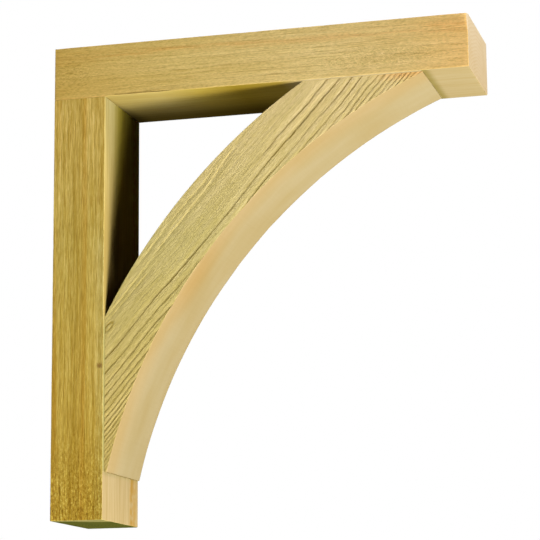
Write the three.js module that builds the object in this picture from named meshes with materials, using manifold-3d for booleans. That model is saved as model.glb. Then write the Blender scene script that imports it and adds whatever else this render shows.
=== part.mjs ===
// Decorative timber bracket of three sawn pieces: a wall leg, a top arm lying across
// the leg's head, and a curved brace between the two.
// Millimetres, +Z up. The back of the bracket is the plane x = 0, it reaches out along
// +X, and it is symmetric about y = 0. The origin is the middle of the back face.

import * as THREE from 'three';
import { LoftGeometry } from 'three/addons/geometries/LoftGeometry.js';
import { RoundedBoxGeometry } from 'three/addons/geometries/RoundedBoxGeometry.js';
import { mergeVertices } from 'three/addons/utils/BufferGeometryUtils.js';
import Module from 'manifold-3d';

const INCH = 25.4;

// Straight timbers: leg and arm are cut from the same 3 by 6 inch stock
const STOCK_DEEP = 3 * INCH;
const STOCK_WIDE = 6 * INCH;
const HEIGHT = 26.5 * INCH;
const REACH = 23.5 * INCH;
const ARRIS_RADIUS = 2.5;
const ARRIS_STEPS = 2;
const GLUE_LINE = 0.3;

// Curved brace: its soffit and its upper curve are arcs round one centre
const BRACE_SETBACK = 6;
const BRACE_DEEP = 80;
const SOFFIT_RADIUS = 759.6;
const CENTRE_BEYOND_LEG = 743.9;
const CENTRE_BELOW_ARM = 704;
const BRACE_ARRIS = 2.5;
const BRACE_ARRIS_STEPS = 3;
const ARC_STEPS = 52;

// The brace's two toes, measured from the free ends of leg and arm
const LOWER_TOE_ABOVE_FOOT = 66;
const UPPER_TOE_FROM_END = 65;
const UPPER_TOE_TIP = 0.8;
const UPPER_TOE_FACET = 9.5;

// Weathered grain on the brace's sides: the soft wood before each growth ring is worn
// down in a ramp, and the hard ring stands up behind it. The rings close up towards the
// soffit: each spacing comes down towards CLOSE_SPACING by the factor SPACING_FALL.
const GRAIN_SLOPE = THREE.MathUtils.degToRad(48);
const LONG_RING = 67;
const LAST_RING = 169;
const WIDE_SPACING = 13.5;
const CLOSE_SPACING = 4;
const SPACING_FALL = 0.75;
const RISER_SHARE = 0.125;
const TERRACE_FILL = 0.8;
const RISER_LEAN = 0.4;
const DEEPEST_RISER = 1.8;
const SHALLOWEST_RISER = 0.9;
const RING_STEP = 24;
const RING_FADE = 40;

// Rings above the long one: a short one towards the arm, and two that lie across the
// fibres towards the crown, whose risers look down to the soffit
const SHORT_RING = { ring: 54.5, run: 10, depth: 1.2, from: 85, to: 290, facing: -1 };
const LOWER_CROWN_RING = { ring: 36, tilt: 0.01, run: 9, depth: 1, from: -290, to: -100, facing: 1 };
const LONG_CROWN_RING = {
  ring: 20, tilt: -0.075, curl: -0.00015, run: 13, depth: 1.1, from: -230, to: 120, facing: 1,
};

const BRACE_WIDE = STOCK_WIDE - 2 * BRACE_SETBACK;
const CROWN_RADIUS = SOFFIT_RADIUS + BRACE_DEEP;
const TOP = HEIGHT / 2;
const FOOT = -HEIGHT / 2;
const ARM_UNDERSIDE = TOP - STOCK_DEEP;
const ARC_CENTRE = new THREE.Vector2(STOCK_DEEP + CENTRE_BEYOND_LEG, ARM_UNDERSIDE - CENTRE_BELOW_ARM);

// Grain directions in the side view, as (x, z) pairs: along the fibres, and across them
// towards the brace's upper curve
const ALONG_GRAIN = new THREE.Vector2(Math.cos(GRAIN_SLOPE), Math.sin(GRAIN_SLOPE));
const ACROSS_GRAIN = new THREE.Vector2(-Math.sin(GRAIN_SLOPE), Math.cos(GRAIN_SLOPE));

const wasm = await Module();
wasm.setup();

// Boolean helpers: a closed geometry becomes a solid, and a solid a geometry again

function toSolid(geometry) {
  const bare = new THREE.BufferGeometry().copy(geometry);
  bare.deleteAttribute('normal');
  bare.deleteAttribute('uv');
  const merged = mergeVertices(bare, 1e-4);
  return new wasm.Manifold(new wasm.Mesh({
    numProp: 3,
    vertProperties: new Float32Array(merged.attributes.position.array),
    triVerts: new Uint32Array(merged.index.array),
  }));
}

function toGeometry(solid) {
  const mesh = solid.getMesh();
  const geometry = new THREE.BufferGeometry();
  geometry.setAttribute('position', new THREE.BufferAttribute(mesh.vertProperties, 3));
  geometry.setIndex(new THREE.BufferAttribute(mesh.triVerts, 1));
  geometry.computeVertexNormals();
  return geometry;
}

// A side-view outline of (x, z) points, extruded across the bracket about y = 0
function sideProfile(points, width) {
  const geometry = new THREE.ExtrudeGeometry(new THREE.Shape(points), {
    depth: width,
    bevelEnabled: false,
  });
  geometry.rotateX(Math.PI / 2);
  geometry.translate(0, width / 2, 0);
  return geometry;
}

function easedTimber(low, high) {
  const size = new THREE.Vector3().subVectors(high, low);
  const geometry = new RoundedBoxGeometry(size.x, size.y, size.z, ARRIS_STEPS, ARRIS_RADIUS);
  geometry.translate((low.x + high.x) / 2, (low.y + high.y) / 2, (low.z + high.z) / 2);
  return geometry;
}

// Top arm: one length of stock, lying flat across the head of the leg
function topArm() {
  return easedTimber(
    new THREE.Vector3(0, -STOCK_WIDE / 2, ARM_UNDERSIDE),
    new THREE.Vector3(REACH, STOCK_WIDE / 2, TOP),
  );
}

// Wall leg: the same stock upright, with its head sawn square to butt under the arm
function wallLeg() {
  const overlong = easedTimber(
    new THREE.Vector3(0, -STOCK_WIDE / 2, FOOT),
    new THREE.Vector3(STOCK_DEEP, STOCK_WIDE / 2, TOP),
  );
  const head = ARM_UNDERSIDE - GLUE_LINE;
  const keep = sideProfile([
    new THREE.Vector2(-STOCK_DEEP, FOOT - STOCK_DEEP),
    new THREE.Vector2(2 * STOCK_DEEP, FOOT - STOCK_DEEP),
    new THREE.Vector2(2 * STOCK_DEEP, head),
    new THREE.Vector2(-STOCK_DEEP, head),
  ], 2 * STOCK_WIDE);
  return toGeometry(toSolid(overlong).intersect(toSolid(keep)));
}

// Height of the soffit's arc above a given reach from the wall
function soffitHeight(x) {
  const run = ARC_CENTRE.x - x;
  return ARC_CENTRE.y + Math.sqrt(SOFFIT_RADIUS ** 2 - run ** 2);
}

// The brace's cross-section, a rectangle of (radius, y) points with eased arrises
function braceSection() {
  const corners = [
    { radius: CROWN_RADIUS - BRACE_ARRIS, y: BRACE_WIDE / 2 - BRACE_ARRIS, start: 0 },
    { radius: SOFFIT_RADIUS + BRACE_ARRIS, y: BRACE_WIDE / 2 - BRACE_ARRIS, start: Math.PI / 2 },
    { radius: SOFFIT_RADIUS + BRACE_ARRIS, y: -BRACE_WIDE / 2 + BRACE_ARRIS, start: Math.PI },
    { radius: CROWN_RADIUS - BRACE_ARRIS, y: -BRACE_WIDE / 2 + BRACE_ARRIS, start: 1.5 * Math.PI },
  ];
  const points = [];
  for (const corner of corners) {
    for (let step = 0; step <= BRACE_ARRIS_STEPS; step += 1) {
      const turn = corner.start + (Math.PI / 2) * (step / BRACE_ARRIS_STEPS);
      points.push(new THREE.Vector2(
        corner.radius + BRACE_ARRIS * Math.cos(turn),
        corner.y + BRACE_ARRIS * Math.sin(turn),
      ));
    }
  }
  return points;
}

// The curved plank before its ends are fitted: the section swept round the arc's centre
function bentPlank() {
  const overrun = THREE.MathUtils.degToRad(3);
  const upper = Math.acos((REACH - UPPER_TOE_FROM_END - ARC_CENTRE.x) / SOFFIT_RADIUS) - overrun;
  const lower = Math.PI - Math.asin((FOOT + LOWER_TOE_ABOVE_FOOT - ARC_CENTRE.y) / SOFFIT_RADIUS) + overrun;
  const section = braceSection();
  const sections = [];
  for (let step = 0; step <= ARC_STEPS; step += 1) {
    const angle = upper + (lower - upper) * (step / ARC_STEPS);
    sections.push(section.map((point) => new THREE.Vector3(
      ARC_CENTRE.x + point.x * Math.cos(angle),
      point.y,
      ARC_CENTRE.y + point.x * Math.sin(angle),
    )));
  }
  return new LoftGeometry(sections, { capStart: true, capEnd: true });
}

// The space the brace may fill: in front of the leg, under the arm, between the toes.
// The lower toe is sawn level, and the upper one is pared to a thin tip by a facet.
function braceSpace() {
  const back = STOCK_DEEP + GLUE_LINE;
  const head = ARM_UNDERSIDE - GLUE_LINE;
  const lowerToe = FOOT + LOWER_TOE_ABOVE_FOOT;
  const upperToe = REACH - UPPER_TOE_FROM_END;
  const facetStart = new THREE.Vector2(upperToe - UPPER_TOE_FACET, soffitHeight(upperToe - UPPER_TOE_FACET));
  const facetEnd = new THREE.Vector2(upperToe, ARM_UNDERSIDE - UPPER_TOE_TIP);
  const clearOfSoffit = facetStart.clone().addScaledVector(facetEnd.clone().sub(facetStart), -2);
  return sideProfile([
    new THREE.Vector2(back, lowerToe),
    new THREE.Vector2(clearOfSoffit.x, lowerToe),
    clearOfSoffit,
    facetEnd,
    new THREE.Vector2(upperToe, head),
    new THREE.Vector2(back, head),
  ], STOCK_WIDE);
}

// A point on the brace's side: 'along' runs with the fibres from the brace's middle
// towards the arm, and 'ring' is the depth below the highest point of the upper curve
function grainPoint(along, ring, y) {
  const across = CROWN_RADIUS - ring;
  return new THREE.Vector3(
    ARC_CENTRE.x + along * ALONG_GRAIN.x + across * ACROSS_GRAIN.x,
    y,
    ARC_CENTRE.y + along * ALONG_GRAIN.y + across * ACROSS_GRAIN.y,
  );
}

// Fibres are never dead straight, and neighbouring rings wander together
function wander(along, ring) {
  return 1.3 * Math.sin(along / 43 + ring / 30) + 0.6 * Math.sin(along / 19 + ring / 11);
}

function smoothRise(value) {
  return THREE.MathUtils.smoothstep(value, 0, 1);
}

// The wedge of wood lost beside one ring, from the riser's foot up a long ramp.
// facing is 1 where the riser looks to the soffit, and -1 where it looks to the crown.
// A ring may lie across the fibres by its tilt, and bow by its curl.
function terraceCut({ ring, tilt = 0, curl = 0, run, depth, from, to, facing, side }) {
  const surface = side * BRACE_WIDE / 2;
  const skim = 0.05;
  const lid = 1.5;
  const steps = Math.max(2, Math.round((to - from) / RING_STEP));
  const sections = [];
  for (let step = 0; step <= steps; step += 1) {
    const along = from + (to - from) * (step / steps);
    const fade = smoothRise((along - from) / RING_FADE) * smoothRise((to - along) / RING_FADE);
    const edge = ring + (tilt + curl * along) * along + wander(along, ring);
    const foot = skim - (depth + skim) * fade;
    const section = [
      grainPoint(along, edge, surface + side * lid),
      grainPoint(along, edge + facing * RISER_LEAN, surface + side * foot),
      grainPoint(along, edge + facing * run, surface + side * skim),
      grainPoint(along, edge + facing * run, surface + side * lid),
    ];
    sections.push(side * facing > 0 ? section : section.reverse());
  }
  return new LoftGeometry(sections, { capStart: true, capEnd: true });
}

// Half the length of a ring's chord inside a circle round the arc's centre
function halfChord(radius, ring) {
  return Math.sqrt(Math.max(0, radius ** 2 - (CROWN_RADIUS - ring) ** 2));
}

// The rings from the long one down to the soffit, each with its own terrace. A ring
// deeper than the brace's middle shows twice, above and below the soffit's bow.
function ringTerraces(side) {
  const cuts = [];
  let ring = LONG_RING;
  let spacing = WIDE_SPACING;
  while (ring < LAST_RING) {
    const depth = Math.min(DEEPEST_RISER, Math.max(SHALLOWEST_RISER, spacing * RISER_SHARE));
    const inner = halfChord(SOFFIT_RADIUS, ring) - RING_FADE;
    const outer = halfChord(CROWN_RADIUS, ring) + RING_FADE;
    const shared = { ring, run: spacing * TERRACE_FILL, depth, facing: -1, side };
    if (inner > 0) {
      cuts.push(terraceCut({ ...shared, from: -outer, to: -inner }));
      cuts.push(terraceCut({ ...shared, from: inner, to: outer }));
    } else {
      cuts.push(terraceCut({ ...shared, from: -outer, to: outer }));
    }
    ring += spacing;
    spacing = CLOSE_SPACING + (spacing - CLOSE_SPACING) * SPACING_FALL;
  }
  return cuts;
}

function curvedBrace() {
  let brace = toSolid(bentPlank()).intersect(toSolid(braceSpace()));
  for (const side of [-1, 1]) {
    for (const cut of ringTerraces(side)) {
      brace = brace.subtract(toSolid(cut));
    }
    for (const ring of [SHORT_RING, LONG_CROWN_RING, LOWER_CROWN_RING]) {
      brace = brace.subtract(toSolid(terraceCut({ ...ring, side })));
    }
  }
  return toGeometry(brace);
}

function piece(name, geometry, color, roughness) {
  const material = new THREE.MeshStandardMaterial({ color, roughness, metalness: 0 });
  const mesh = new THREE.Mesh(geometry, material);
  mesh.name = name;
  return mesh;
}

const bracket = new THREE.Group();
bracket.add(piece('top_arm', topArm(), 0xcbb06c, 0.85));
bracket.add(piece('wall_leg', wallLeg(), 0xb99a4a, 0.88));
bracket.add(piece('curved_brace', curvedBrace(), 0xc9b072, 0.8));

export default bracket;
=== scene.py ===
# %% [markdown]
# # A decorative timber bracket
# The bracket carries the end of a beam or a canopy. It is made of three pieces of softwood: a leg
# that stands against the wall, an arm that lies across the leg's head, and a curved brace between
# them. The leg and the arm are rough from the saw. The brace has weathered sides, where the soft
# wood has worn away and left the growth rings standing, and a smooth planed soffit.
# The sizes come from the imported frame, so each piece is built where the frame says it is.

# %% Load the frame
import math

import bmesh
import bpy
import numpy as np
from mathutils import Matrix, Vector, noise


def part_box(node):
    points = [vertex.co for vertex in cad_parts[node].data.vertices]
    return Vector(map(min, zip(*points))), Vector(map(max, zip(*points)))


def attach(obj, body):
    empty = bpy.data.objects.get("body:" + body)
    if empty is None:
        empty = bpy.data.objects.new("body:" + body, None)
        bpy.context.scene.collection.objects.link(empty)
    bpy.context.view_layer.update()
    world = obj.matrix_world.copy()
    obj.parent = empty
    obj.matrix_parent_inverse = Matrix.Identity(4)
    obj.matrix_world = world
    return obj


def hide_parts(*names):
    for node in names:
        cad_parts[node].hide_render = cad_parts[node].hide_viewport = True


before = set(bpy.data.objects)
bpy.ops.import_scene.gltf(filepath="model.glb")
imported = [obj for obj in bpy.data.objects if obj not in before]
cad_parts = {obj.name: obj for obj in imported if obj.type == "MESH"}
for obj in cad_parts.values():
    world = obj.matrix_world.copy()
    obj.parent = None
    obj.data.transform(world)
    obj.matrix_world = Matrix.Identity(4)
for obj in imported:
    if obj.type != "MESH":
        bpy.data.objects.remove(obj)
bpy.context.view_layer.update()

scene = bpy.context.scene
print("frame nodes:", sorted(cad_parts))

# %% Read the main sizes
MM = 0.001
arm_low, arm_high = (np.array(corner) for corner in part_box("top_arm"))
leg_low, leg_high = (np.array(corner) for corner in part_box("wall_leg"))
brace_low, brace_high = (np.array(corner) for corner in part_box("curved_brace"))

ARM_UNDERSIDE = arm_low[2]
LEG_FRONT = leg_high[0]
BRACE_SIDE = brace_high[1]
print("arm underside %.4f m, leg front %.4f m" % (ARM_UNDERSIDE, LEG_FRONT))
print("brace half width %.4f m" % BRACE_SIDE)

# %% [markdown]
# ## Camera
# The photograph looks up at the bracket from the right, from about three metres away. A long lens
# keeps the timbers almost parallel. The place and angles were worked out from the edges of the
# timbers, so the render can be laid over the photograph.

# %% Camera
CAMERA_PLACE = Vector((1.0666, -2.8457, -0.5667))
CAMERA_TURN = math.radians(15.165)
CAMERA_TILT = math.radians(11.092)
CAMERA_ROLL = math.radians(-0.448)
SENSOR_WIDTH = 36.0
LENS = 143.09

camera_data = bpy.data.cameras.new("photo_camera")
camera_data.sensor_width = SENSOR_WIDTH
camera_data.lens = LENS
camera_data.clip_start = 0.1
camera = bpy.data.objects.new("photo_camera", camera_data)
camera.matrix_world = (
    Matrix.Translation(CAMERA_PLACE)
    @ Matrix.Rotation(CAMERA_TURN, 4, "Z")
    @ Matrix.Rotation(math.pi / 2 + CAMERA_TILT, 4, "X")
    @ Matrix.Rotation(CAMERA_ROLL, 4, "Z")
)
scene.collection.objects.link(camera)
scene.camera = camera
scene.view_settings.view_transform = "Standard"
print("camera distance %.2f m" % CAMERA_PLACE.length)

# %% [markdown]
# ## Light, floor and background
# The photograph shows where its lamps stood. The soffit and the arm's underside are bright, so the
# main lamp is low. The inside of the open corner is dark but for its near edges, because the brace
# keeps that lamp out: so it stands far round to the right. A second lamp, low in front and a little
# to the left, lights the near sides without reaching into the corner. A third, high on the right,
# lights the arm's end and the foot of the brace. A lamp behind keeps the back readable. The lamps
# light the wood directly and none of their light is passed on from face to face, which keeps the
# corner nearly as dark as it is in the photograph. The world is white where the camera sees it, as
# behind the bracket in the photograph, and gives the wood only a faint warm glow. The floor is as
# far down as the ground under a door canopy. A lamp straight above keeps it pale, and the arm keeps
# that lamp's light off the leg and the brace.

# %% Lamps
AIM = Vector((0.28, 0.0, 0.0))
OVERHEAD = 2.0


def soft_lamp(name, turn, height, distance, spread, light):
    """A round lamp given by its direction in degrees: turn is 0 towards the near side and 90
    towards the arm's end. spread is its angular radius, and light its strength at the bracket."""
    turn, height, spread = (math.radians(angle) for angle in (turn, height, spread))
    level = math.cos(height)
    way = Vector((math.sin(turn) * level, -math.cos(turn) * level, math.sin(height)))
    data = bpy.data.lights.new(name, "AREA")
    data.shape = "DISK"
    data.size = 2 * distance * math.tan(spread)
    data.energy = light * math.pi * distance ** 2
    data.cycles.max_bounces = 0
    lamp = bpy.data.objects.new(name, data)
    lamp.location = AIM + way * distance
    lamp.rotation_euler = way.to_track_quat("Z", "Y").to_euler()
    lamp.visible_camera = False
    scene.collection.objects.link(lamp)


soft_lamp("low_right_wide", turn=68, height=-40, distance=2.8, spread=19, light=2.5)
soft_lamp("low_right_core", turn=66, height=-38, distance=2.8, spread=8, light=1.6)
soft_lamp("low_front", turn=-8, height=-16, distance=2.5, spread=8, light=2.04)
soft_lamp("high_right", turn=84, height=48, distance=2.0, spread=5, light=1.5)
soft_lamp("behind", turn=-120, height=25, distance=2.4, spread=14, light=2.2)

overhead = bpy.data.lights.new("straight_above", "SUN")
overhead.energy = OVERHEAD
overhead.cycles.max_bounces = 0
scene.collection.objects.link(bpy.data.objects.new("straight_above", overhead))

# %% Add a node
def feed(tree, made, inputs):
    """Gives each input of a node a number or another node's output."""
    for key, value in inputs.items():
        if isinstance(value, bpy.types.NodeSocket):
            tree.links.new(value, made.inputs[key])
        else:
            made.inputs[key].default_value = value


def node(tree, kind, inputs, output=0, **settings):
    """Adds a node with its inputs and settings, and returns the output that is wanted."""
    made = tree.nodes.new("ShaderNode" + kind)
    for name, value in settings.items():
        setattr(made, name, value)
    feed(tree, made, inputs)
    return made.outputs[output]


# %% Background and floor
AMBIENT = 0.007
WOOD_GLOW = (1.0, 0.80, 0.45, 1)
FLOOR_DROP = 3.0
FLOOR_SIZE = 12.0

world = bpy.data.worlds.new("studio")
scene.world = world
world.use_nodes = True
sky = world.node_tree
sky.nodes.clear()
seen = node(sky, "LightPath", {}, "Is Camera Ray")
white = node(sky, "Background", {"Color": (1, 1, 1, 1)})
dim = node(sky, "Background", {"Color": WOOD_GLOW, "Strength": AMBIENT})
shown = node(sky, "MixShader", {0: seen, 1: dim, 2: white})
feed(sky, sky.nodes.new("ShaderNodeOutputWorld"), {"Surface": shown})

floor_height = leg_low[2] - FLOOR_DROP
half = FLOOR_SIZE / 2
floor_mesh = bpy.data.meshes.new("floor")
floor_corners = [(-half, -half, 0), (half, -half, 0), (half, half, 0), (-half, half, 0)]
floor_mesh.from_pydata(floor_corners, [], [(0, 1, 2, 3)])
floor = bpy.data.objects.new("floor", floor_mesh)
floor.location.z = floor_height
scene.collection.objects.link(floor)
floor_paint = bpy.data.materials.new("pale_floor")
floor_paint.use_nodes = True
floor_shader = floor_paint.node_tree.nodes["Principled BSDF"]
floor_shader.inputs["Base Color"].default_value = (0.8, 0.8, 0.79, 1)
floor_shader.inputs["Roughness"].default_value = 0.9
floor_mesh.materials.append(floor_paint)
print("floor at %.3f m" % floor_height)

# %% [markdown]
# ## A shell for a straight timber
# A sawn timber is a box with eased arrises. A plain cube has no points to carve, so the shell is a
# lattice of small cells over the six faces. Near an edge, each point is pulled in to the rounded
# corner: the nearest point of a smaller box inside is found, and the surface point is set one
# radius away from it. That also gives the direction in which the wood can be worn away.

# %% Lattice shell
ARRIS = 1.3 * MM


def stops(low, high, cell, ease):
    """Lattice positions along one axis, closer together in the eased edges."""
    inner = np.linspace(low + ease, high - ease, max(2, round((high - low - 2 * ease) / cell)))
    edge = ease * np.array([0.0, 0.3, 0.65])
    return np.concatenate([low + edge, inner, (high - edge)[::-1]])


def timber_shell(low, high, cells, ease):
    """Points, outward directions and four-sided faces of a box with rounded edges."""
    places = [stops(low[axis], high[axis], cells[axis], ease) for axis in range(3)]
    last = [len(place) - 1 for place in places]
    quads = []
    for axis in range(3):
        u, v = (axis + 1) % 3, (axis + 2) % 3
        i, j = np.meshgrid(np.arange(last[u] + 1), np.arange(last[v] + 1), indexing="ij")
        for end in (0, last[axis]):
            key = np.zeros(i.shape + (3,), int)
            key[..., axis], key[..., u], key[..., v] = end, i, j
            corners = [key[:-1, :-1], key[1:, :-1], key[1:, 1:], key[:-1, 1:]]
            if end == 0:
                corners.reverse()
            quads.append(np.stack(corners, axis=2).reshape(-1, 4, 3))
    flat = np.concatenate(quads).reshape(-1, 3)
    keys, index = np.unique(flat, axis=0, return_inverse=True)
    points = np.stack([places[axis][keys[:, axis]] for axis in range(3)], axis=1)
    core = np.clip(points, np.array(low) + ease, np.array(high) - ease)
    away = points - core
    outward = away / np.linalg.norm(away, axis=1)[:, None]
    return core + outward * ease, outward, index.reshape(-1, 4)


# %% [markdown]
# ## Wear for sawn faces
# A saw leaves long shallow ridges where it follows the fibres, and here and there it tears a patch
# of them. Blender's own noise gives both: stretched along the timber it makes ridges, and a slow
# noise chooses where the torn patches are. Wood is only taken away, never added, so each timber
# stays within its true size.

# %% Noise helpers
def soft_noise(points, scale, offset=0.0):
    """Blender's gradient noise at every point; scale is the size of a lump along x, y and z."""
    return np.array([noise.noise(place) for place in (points / np.array(scale) + offset).tolist()])


def rise(value, start, end):
    """0 below start, 1 above end, and smooth between."""
    t = np.clip((value - start) / (end - start), 0, 1)
    return t * t * (3 - 2 * t)


# %% Sawn relief
RIDGE = 0.35 * MM
TORN = 0.55 * MM
PLANED_OFF = 0.8


def sawn_depth(points, along, torn_near=None, offset=0.0):
    """How deep each point of a sawn timber lies, in metres; along is the axis of its fibres."""
    def stretched(length, width):
        scale = np.full(3, width * MM)
        scale[along] = length * MM
        return scale

    long_ridges = soft_noise(points, stretched(160, 4.2), offset)
    short_ridges = soft_noise(points, stretched(50, 2.3), offset + 7)
    depth = RIDGE * np.clip(0.5 + 0.5 * (long_ridges + 0.6 * short_ridges), 0, 1)
    patches = rise(soft_noise(points, stretched(60, 22), offset + 3), 0.1, 0.45)
    if torn_near is not None:
        patches = np.maximum(patches, torn_near)
    fuzz = np.abs(soft_noise(points, stretched(6, 2.6), offset + 11))
    return depth + TORN * patches * fuzz


# %% Make, close and count a piece
def make_piece(name, points, faces):
    mesh = bpy.data.meshes.new(name)
    mesh.from_pydata(points.tolist(), [], faces.tolist())
    mesh.update()
    piece = bpy.data.objects.new(name, mesh)
    scene.collection.objects.link(piece)
    return piece


def close_holes(piece):
    """Fills open rims and turns every face outwards, which a Boolean cut needs."""
    work = bmesh.new()
    work.from_mesh(piece.data)
    bmesh.ops.holes_fill(work, edges=work.edges[:], sides=0)
    bmesh.ops.recalc_face_normals(work, faces=work.faces[:])
    work.to_mesh(piece.data)
    work.free()


def count_triangles(piece):
    return sum(len(polygon.vertices) - 2 for polygon in piece.data.polygons)


# %% [markdown]
# ## Top arm
# The arm is one straight length of stock. Its near top corner was planed off a little at the front
# end, and a fine drying check runs just above the near bottom arris, in front of the leg.

# %% Places on the arm
ARM_CELLS = (3.2 * MM, 2.6 * MM, 1.5 * MM)
CHECK_START, CHECK_END = 0.084, 0.180
CHECK_HEIGHT = ARM_UNDERSIDE + 2.3 * MM
CHECK_FALL = 0.008
CHECK_DEPTH = 0.9 * MM
NEAR_SIDE_Y = -0.07
CORNER_PLANED = 4.0 * MM
CORNER_FADES_AT = 0.304


def near(points, centre, reach):
    """1 at the centre of a stretched blob and 0 outside it."""
    gap = np.linalg.norm((points - np.array(centre)) / np.array(reach), axis=1)
    return 1 - rise(gap, 0.3, 1.0)


def check_line(points):
    """1 along the drying check and 0 away from it: a thin line that breaks up here and there."""
    x, y, z = points.T
    line = CHECK_HEIGHT - CHECK_FALL * (x - CHECK_START) + 0.6 * MM * soft_noise(points, (0.02, 1, 1), 5.0)
    ends = rise(x, CHECK_START, CHECK_START + 0.015) * (1 - rise(x, CHECK_END - 0.02, CHECK_END))
    return ends * (1 - rise(np.abs(z - line), 0.3 * MM, 1.2 * MM)) * (y < NEAR_SIDE_Y)


# %% Build the arm
ARM_TORN = (
    ((0.030, arm_low[1], 0.296), (0.045, 0.01, 0.026)),
    ((0.470, arm_low[1], 0.284), (0.13, 0.01, 0.022)),
)


def arm_torn(points):
    """Where the saw tore the arm's near side: at the wall end, and above the brace's upper toe."""
    return np.maximum(*(near(points, centre, reach) for centre, reach in ARM_TORN))


def arm_depth(points, outward):
    depth = sawn_depth(points, along=0, torn_near=arm_torn(points), offset=1.3)
    smooth_faces = rise(np.abs(outward[:, 0]), 0.5, 0.9) + rise(-outward[:, 2], 0.5, 0.9)
    return depth * (1 - PLANED_OFF * np.clip(smooth_faces, 0, 1)) + CHECK_DEPTH * check_line(points)


def plane_corner(points):
    """Takes the near corner off the arm's end, widest at the top and gone below CORNER_FADES_AT."""
    shaved = points.copy()
    width = CORNER_PLANED * np.clip((points[:, 2] - CORNER_FADES_AT) / (arm_high[2] - CORNER_FADES_AT), 0, 1)
    short = width - (arm_high[0] - points[:, 0]) - (points[:, 1] - arm_low[1])
    push = np.clip(short, 0, None) / 2
    shaved[:, 0] -= push
    shaved[:, 1] += push
    return shaved


arm_points, arm_outward, arm_faces = timber_shell(arm_low, arm_high, ARM_CELLS, ARRIS)
arm_points = arm_points - arm_outward * arm_depth(arm_points, arm_outward)[:, None]
arm = make_piece("top_arm_timber", plane_corner(arm_points), arm_faces)
print("arm triangles:", count_triangles(arm))

# %% [markdown]
# ## Wall leg
# The leg is the same stock, upright, with its head sawn square under the arm. Its sides get
# rougher towards the foot, and a small pin knot sits beside the near front arris.

# %% Build the leg
LEG_CELLS = (1.5 * MM, 2.6 * MM, 3.2 * MM)
KNOT = np.array([0.0708, leg_low[1], -0.124])
KNOT_REACH = np.array([3.4, 4.0, 3.2]) * MM
KNOT_DEPTH = 1.0 * MM


def leg_torn(points):
    """The saw tore more and more fibres towards the foot of the leg."""
    return 1 - rise(points[:, 2], leg_low[2] + 0.01, leg_low[2] + 0.16)


def leg_depth(points, outward):
    depth = sawn_depth(points, along=2, torn_near=leg_torn(points), offset=5.7)
    smooth_faces = rise(outward[:, 0], 0.5, 0.9) + rise(np.abs(outward[:, 2]), 0.5, 0.9)
    sawn = depth * (1 - PLANED_OFF * np.clip(smooth_faces, 0, 1))
    return sawn + KNOT_DEPTH * near(points, KNOT, KNOT_REACH)


def saw_off(piece, place, normal):
    """Cuts a piece with a flat plane and closes the cut; what lies on the normal's side goes."""
    work = bmesh.new()
    work.from_mesh(piece.data)
    cut = bmesh.ops.bisect_plane(
        work,
        geom=work.verts[:] + work.edges[:] + work.faces[:],
        plane_co=place,
        plane_no=normal,
        clear_outer=True,
    )
    rim = [part for part in cut["geom_cut"] if isinstance(part, bmesh.types.BMEdge)]
    bmesh.ops.edgeloop_fill(work, edges=rim)
    bmesh.ops.recalc_face_normals(work, faces=work.faces[:])
    work.to_mesh(piece.data)
    work.free()


overlong_high = leg_high + np.array([0, 0, 2 * ARRIS])
leg_points, leg_outward, leg_faces = timber_shell(leg_low, overlong_high, LEG_CELLS, ARRIS)
leg_points = leg_points - leg_outward * leg_depth(leg_points, leg_outward)[:, None]
leg = make_piece("wall_leg_timber", leg_points, leg_faces)
saw_off(leg, (0, 0, leg_high[2]), (0, 0, 1))
print("leg triangles:", count_triangles(leg))

# %% [markdown]
# ## Curved brace: the bent plank
# The brace's soffit and its upper curve are arcs round one centre, far out in front of the leg. A
# rounded section is swept along the arcs in small steps. Then the plank is sawn along the leg,
# under the arm, level at its lower toe and upright at its upper toe, which ends in a small facet.

# %% Sizes of the arc
SOFFIT_RADIUS = 759.6 * MM
BRACE_DEEP = 80 * MM
CENTRE_BEYOND_LEG = 743.9 * MM
CENTRE_BELOW_ARM = 704 * MM
BRACE_ARRIS = 0.8 * MM
UPPER_TOE_FACET = 9.5 * MM
UPPER_TOE_TIP = 0.8 * MM

arc_centre = np.array([LEG_FRONT + CENTRE_BEYOND_LEG, ARM_UNDERSIDE - CENTRE_BELOW_ARM])
CROWN_RADIUS = SOFFIT_RADIUS + BRACE_DEEP
lower_toe, upper_toe = brace_low[2], brace_high[0]
print("arc centre x %.4f z %.4f" % tuple(arc_centre))


# %% Sweep the plank
PLANK_CELL = 3.5 * MM
OVERRUN = math.radians(3)
PLANE_WAVE = 0.4 * MM


def plank_section():
    """The plank's section as (radius, y) points, with eased arrises."""
    at_crown, at_soffit = CROWN_RADIUS - BRACE_ARRIS, SOFFIT_RADIUS + BRACE_ARRIS
    corner_side = BRACE_SIDE - BRACE_ARRIS
    turns = np.linspace(0, math.pi / 2, 5)
    across = np.linspace(corner_side, -corner_side, round(2 * corner_side / PLANK_CELL))[1:-1]
    bends = [(BRACE_ARRIS * math.cos(t), BRACE_ARRIS * math.sin(t)) for t in turns]
    section = [(at_crown + far, corner_side + wide) for far, wide in bends]
    section += [(at_soffit - wide, corner_side + far) for far, wide in bends]
    eased = section[:]
    section += [(SOFFIT_RADIUS, y) for y in across]
    section += [(radius, -y) for radius, y in eased[::-1]]
    section += [(CROWN_RADIUS, y) for y in across[::-1]]
    return np.array(section)


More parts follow.
